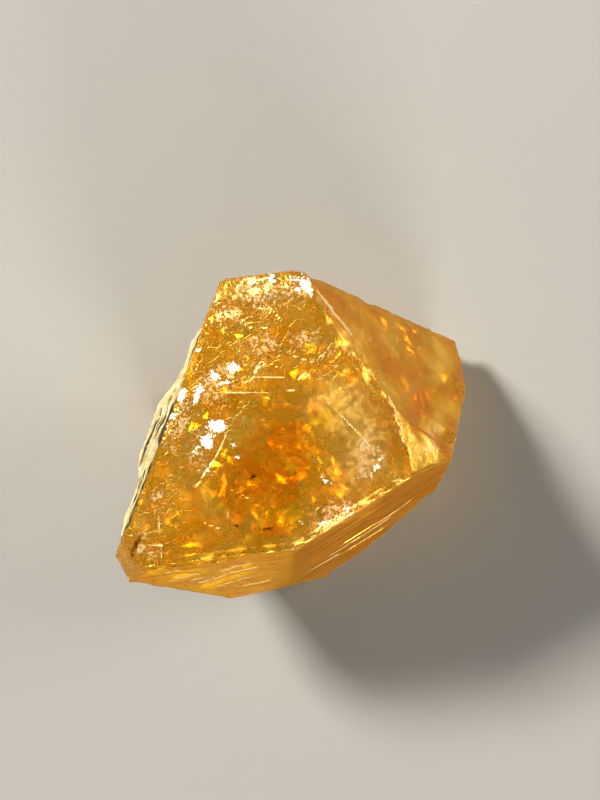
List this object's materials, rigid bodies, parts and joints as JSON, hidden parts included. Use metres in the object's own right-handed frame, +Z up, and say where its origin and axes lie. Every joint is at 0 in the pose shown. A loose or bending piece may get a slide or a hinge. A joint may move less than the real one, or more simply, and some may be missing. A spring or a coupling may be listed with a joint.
{
  "type": "scheelite crystal",
  "caption": "Loose amber scheelite crystal, a steep bipyramid broken on one side, with a thin cream crust of matrix on the break. Rests on one face.",
  "frame": {"origin": "middle of the footprint, on the surface that the crystal rests on", "axes": "+Z up through the large face on top, +X towards the chipped corner, +Y towards the broken-off tip"},
  "size_m": [0.0274, 0.029, 0.023],
  "materials": {
    "crystal": "clear to cloudy amber with healed cracks, glossy faces with fine crackle",
    "matrix": "matte, layered and lumpy cream crust"
  },
  "bodies": {
    "root": {"crystal": "crystal", "matrix_crust": "matrix"}
  },
  "joints": []
}
